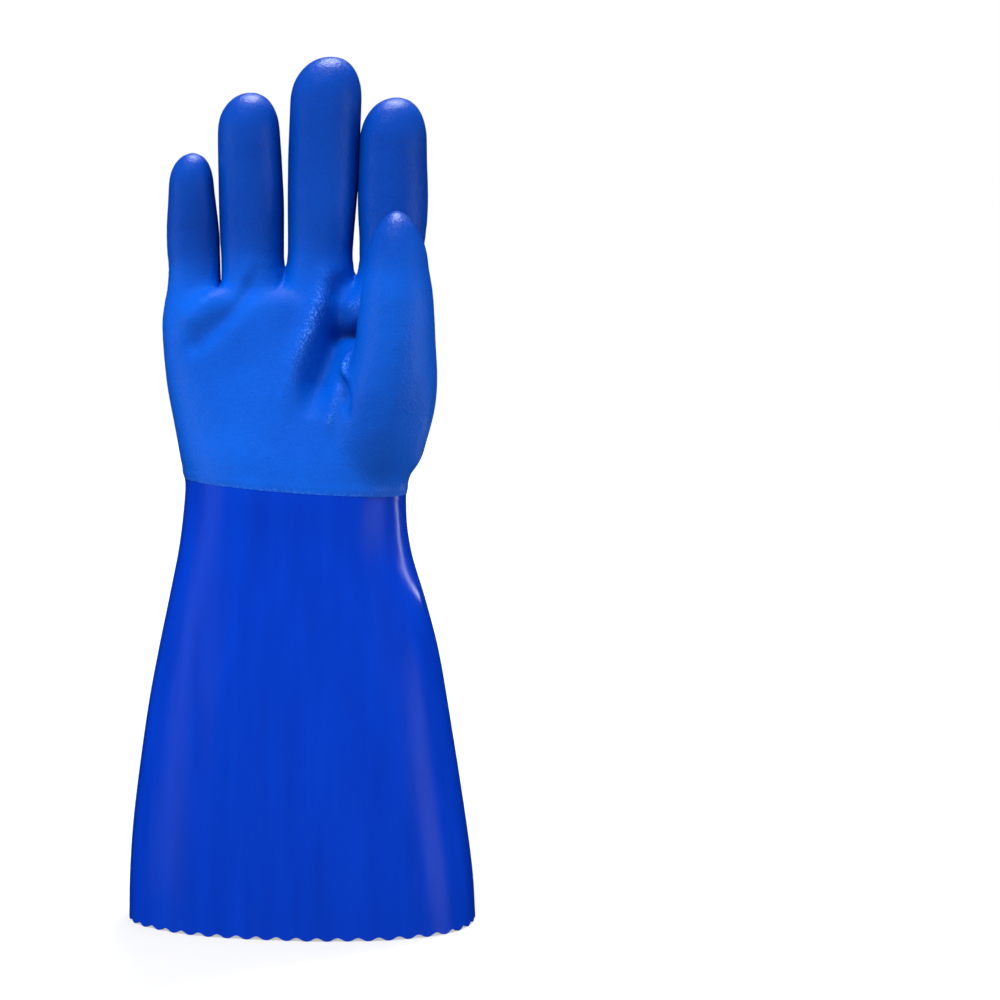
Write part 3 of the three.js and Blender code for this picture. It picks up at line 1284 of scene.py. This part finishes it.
@dataclass(frozen=True)
class Cuff(Layer):
    """What the smooth coat and the lining share below the wrist: a flared tube with a wavy hem."""

    lobes: int = 46
    columns_per_lobe: int = 8
    lobe_depth: float = 1.4
    # Above 1 the lobes are broad and the notches between them narrow.
    lobe_power: float = 1.2
    # How high the scallops reach into the wall.
    hem_fade: float = 9.0
    # Rows are close at the hem, up to one height, and at their widest from another on.
    close_row: float = 1.1
    wide_row: float = 3.0
    close_to: float = 2.0
    wide_from: float = 24.0
    last_row: float = 1.0
    # The upright folds: how deep, wide and tall they are, and where in the noise they are taken.
    ripple_depth: float = 1.1
    ripple_width: float = 20.0
    ripple_height: float = 110.0
    ripple_seed: float = 3.0
    # How far under the rough coat's edge they are reached in full.
    ripple_calm: float = 16.0

    def hem(self, share: float) -> float:
        """Give the height of the scalloped hem at a share of the way round."""
        wave = 0.5 - 0.5 * math.cos(math.tau * self.lobes * share)
        return self.lobe_depth * wave**self.lobe_power

    def tube(self, inset: float, top: float, lift: float) -> BMesh:
        """Draw the wall from the hem up to the wrist.

        Args:
            inset: How far inside the outer face it lies.
            top: How far over the wrist it ends.
            lift: How far its hem lies over the lobes' lowest points.

        Returns:
            The open tube.
        """
        bm = bmesh.new()
        body = self.form.body()
        end = self.form.gauntlet_length + top
        heights, height = [], 0.0
        while height < end - self.last_row:
            heights.append(height)
            share = ease(self.close_to, self.wide_from, height)
            height += mix(self.close_row, self.wide_row, share)
        columns = self.lobes * self.columns_per_lobe
        rings = []
        for height in [*heights, end]:
            ring = between(body, height).ring(columns, inset)
            fade = 1 - ease(0, self.hem_fade, height)
            for i, point in enumerate(ring):
                point.z += (self.hem((i + 0.5) / columns) + lift) * fade
            rings.append(ring)
        shell(bm, rings)
        bmesh.ops.recalc_face_normals(bm, faces=bm.faces)
        push(bm, self.ripple)
        return bm

    def ripple(self, place: Vector, normal: Vector) -> float:
        """Work out the upright folds of the cuff at a point.

        Args:
            place: The point, in millimetres.
            normal: Which way the surface faces there.

        Returns:
            How far the surface moves out, in millimetres.
        """
        width, height = self.ripple_width, self.ripple_height
        spot = Vector((place.x / width, place.y / width, place.z / height + self.ripple_seed))
        folds = sum(fold.lift(place, normal) for fold in CUFF_FOLDS)
        held = ease(0, -self.ripple_calm, self.form.over_edge(place))
        return held * (noise.noise(spot) * self.ripple_depth + folds)


@dataclass(frozen=True)
class SmoothCoat(Cuff):
    """The smooth coat from the rough coat's edge down to the hem."""

    wall: float = 1.1
    inset: float = 0.1
    # How far it goes up past the wrist, so that it ends unseen in the rough coat's wall.
    tuck: float = 5.5

    def build(self, finish: Material) -> Object:
        """Make the coat.

        Args:
            finish: Its material.

        Returns:
            The piece.
        """
        skin = self.tube(self.inset, self.tuck, 0.0)
        return finished(skin, "smooth_coat", finish, ("gauntlet_coat",), self.wall)


@dataclass(frozen=True)
class Lining(Cuff):
    """The knitted lining: a cuff with the same hem, and the hand inside the rough coat."""

    wall: float = 1.0
    inset: float = 1.9
    voxel: float = 2.2
    hem_lift: float = 0.3
    # Where over the wrist its cuff ends and its hand begins. They are joined there.
    cuff_end: float = -4.0
    hand_start: float = -1.5
    # Rims under this height are the hem's, and stay open.
    hem_under: float = 20.0
    # The girth that the knit is laid out for, about the wrist's and the hem's mean.
    girth: float = 300.0

    def unwrap(self, bm: BMesh) -> None:
        """Wrap a pattern in millimetres round the lining, with its seam behind.

        Args:
            bm: The lining's mesh.
        """
        knit = bm.loops.layers.uv.new("knit")
        for face in bm.faces:
            middle = face.calc_center_median()
            base = math.atan2(middle.x, -middle.y)
            for loop in face.loops:
                angle = math.atan2(loop.vert.co.x, -loop.vert.co.y)
                angle += round((base - angle) / math.tau) * math.tau
                loop[knit].uv = (angle * self.girth / math.tau, loop.vert.co.z / MM)

    def build(self, finish: Material) -> Object:
        """Make the lining.

        Args:
            finish: Its material.

        Returns:
            The piece.
        """
        cuff = self.tube(self.inset, self.cuff_end, self.hem_lift)
        hand = self.hand(self.inset, self.voxel)
        push(hand, self.crumple)
        bmesh.ops.bisect_plane(
            hand,
            geom=[*hand.verts, *hand.edges, *hand.faces],
            plane_co=(0, 0, (self.form.gauntlet_length + self.hand_start) * MM),
            plane_no=Vector((self.form.wrist_slope, 0, 1)).normalized(),
            clear_inner=True,
        )
        mesh = bpy.data.meshes.new("lining_hand")
        hand.to_mesh(mesh)
        hand.free()
        cuff.from_mesh(mesh)
        bpy.data.meshes.remove(mesh)
        low = self.hem_under * MM
        rims = [e for e in cuff.edges if e.is_boundary and e.verts[0].co.z > low]
        bmesh.ops.bridge_loops(cuff, edges=rims)
        bmesh.ops.recalc_face_normals(cuff, faces=cuff.faces)
        self.unwrap(cuff)
        return finished(cuff, "knitted_lining", finish, ("lining",), self.wall)


@dataclass(frozen=True)
class Softbox:
    """A studio lamp: where it hangs, what it is turned to, its width and its power.

    It is square unless it has a height. Its roll is in degrees.
    """

    name: str
    place: tuple[float, float, float]
    aim: tuple[float, float, float]
    size: float
    power: float
    height: float = 0.0
    roll: float = 0.0
    # Whether it lights colours, and whether it shows as a reflection.
    diffuse: bool = True
    glossy: bool = True


@dataclass(frozen=True)
class Studio:
    """The pale floor, the soft lamps and the camera, in metres."""

    eye: tuple[float, float, float] = (0.0811, -0.952, 0.228)
    tilt: float = 3.41
    lens: float = 84.3
    sensor: float = 36.0
    floor_size: float = 6.0
    floor_colour: str = "a8a8a8"
    # How much light the floor gives of its own under the glove and far off, and how far those are.
    floor_glow: tuple[float, float] = (0.45, 1.0)
    floor_reach: tuple[float, float] = (0.25, 1.6)
    # How bright the room is to the glove, and the wall behind it to the lens.
    room_glow: float = 0.44
    wall_glow: float = 1.0
    lamps: tuple[Softbox, ...] = (
        Softbox("top", (0.0, 0.2, 1.25), (0.0, 0.0, 0.25), 0.5, 12.5, diffuse=False),
        Softbox("front", (-0.3, -0.75, 1.3), (0.0, 0.0, 0.16), 0.7, 23.5, glossy=False),
        Softbox("behind", (0.3, 0.75, 1.3), (0.0, 0.0, 0.16), 0.7, 23.5, glossy=False),
        Softbox("right fill", (0.95, -0.3, 0.05), (0.0, 0.0, 0.2), 0.5, 6.5, glossy=False),
        Softbox("left fill", (-0.95, -0.25, 0.1), (0.0, 0.0, 0.1), 0.5, 4.0, glossy=False),
        # A narrow lamp close to the wrist, for the one bright line on the thumb's side.
        Softbox(
            "wrist strip",
            (0.1285, 0.0395, 0.1640),
            (0.048, 0.0, 0.161),
            size=0.004,
            power=0.005,
            height=0.095,
            roll=63.0,
        ),
    )

    def build(self) -> None:
        """Set the floor, the lamps, the air and the camera."""
        self.floor()
        self.air()
        for lamp in self.lamps:
            self.hang(lamp)
        self.camera()

    def floor(self) -> None:
        """Lay the pale floor."""
        bm = bmesh.new()
        bmesh.ops.create_grid(bm, x_segments=8, y_segments=8, size=self.floor_size)
        mesh = bpy.data.meshes.new("floor")
        bm.to_mesh(mesh)
        bm.free()
        paint, tree, shader = started("studio floor, matt white paint")
        shader.inputs["Base Color"].default_value = linear(self.floor_colour)
        shader.inputs["Roughness"].default_value = 0.9
        shader.inputs["Specular IOR Level"].default_value = 0.0
        shader.inputs["Emission Color"].default_value = linear("ffffff")
        # Away from the lamps the floor is lit from below, so that it meets the wall unseen.
        place = add_node(tree, "ShaderNodeTexCoord").outputs["Object"]
        away = add_node(tree, "ShaderNodeVectorMath", {0: place}, operation="LENGTH")
        glow = add_node(
            tree,
            "ShaderNodeMapRange",
            {
                "Value": away.outputs["Value"],
                "From Min": self.floor_reach[0],
                "From Max": self.floor_reach[1],
                "To Min": self.floor_glow[0],
                "To Max": self.floor_glow[1],
            },
            interpolation_type="SMOOTHSTEP",
        ).outputs[0]
        tree.links.new(glow, shader.inputs["Emission Strength"])
        mesh.materials.append(paint)
        floor = bpy.data.objects.new("floor", mesh)
        bpy.context.scene.collection.objects.link(floor)
        floor.visible_glossy = False
        floor.visible_diffuse = False

    def air(self) -> None:
        """Fill the room with pale light, brighter behind what the lens sees."""
        world = bpy.data.worlds.new("studio")
        bpy.context.scene.world = world
        world.use_nodes = True
        world.cycles.sampling_method = "NONE"
        world.cycles_visibility.glossy = False
        tree = world.node_tree
        tree.nodes.clear()
        camera = add_node(tree, "ShaderNodeLightPath").outputs["Is Camera Ray"]
        glow, wall = (
            add_node(
                tree, "ShaderNodeBackground", {"Color": linear("ffffff"), "Strength": strength}
            )
            for strength in (self.room_glow, self.wall_glow)
        )
        seen = add_node(
            tree, "ShaderNodeMixShader", {0: camera, 1: glow.outputs[0], 2: wall.outputs[0]}
        )
        add_node(tree, "ShaderNodeOutputWorld", {0: seen.outputs[0]})

    def hang(self, lamp: Softbox) -> None:
        """Hang one lamp.

        Args:
            lamp: The lamp.
        """
        light: Light = bpy.data.lights.new(lamp.name, "AREA")
        light.energy = lamp.power
        light.size = lamp.size
        if lamp.height:
            light.shape = "RECTANGLE"
            light.size_y = lamp.height
        held = bpy.data.objects.new(lamp.name, light)
        held.location = lamp.place
        held.visible_diffuse = lamp.diffuse
        held.visible_glossy = lamp.glossy
        held.visible_camera = False
        facing = (Vector(lamp.aim) - Vector(lamp.place)).to_track_quat("-Z", "Y")
        roll = Quaternion((0.0, 0.0, 1.0), math.radians(lamp.roll))
        held.rotation_euler = (facing @ roll).to_euler()
        bpy.context.scene.collection.objects.link(held)

    def camera(self) -> None:
        """Set the camera where the photograph was taken from."""
        lens = bpy.data.cameras.new("camera")
        lens.lens = self.lens
        lens.sensor_width = self.sensor
        held = bpy.data.objects.new("camera", lens)
        held.location = self.eye
        held.rotation_euler = (math.radians(90 - self.tilt), 0.0, 0.0)
        bpy.context.scene.collection.objects.link(held)
        bpy.context.scene.camera = held


def main() -> None:
    """Build the studio and the three layers of the glove, from the outside in."""
    logging.basicConfig(level=logging.INFO, format="%(message)s")
    bpy.context.scene.view_settings.view_transform = "Standard"
    Studio().build()
    pieces = [
        RoughCoat().build(RoughPvc().material()),
        SmoothCoat().build(SmoothPvc().material()),
        Lining().build(KnittedCotton().material()),
    ]
    LOG.info("%d pieces", len(pieces))


if __name__ == "__main__":
    main()
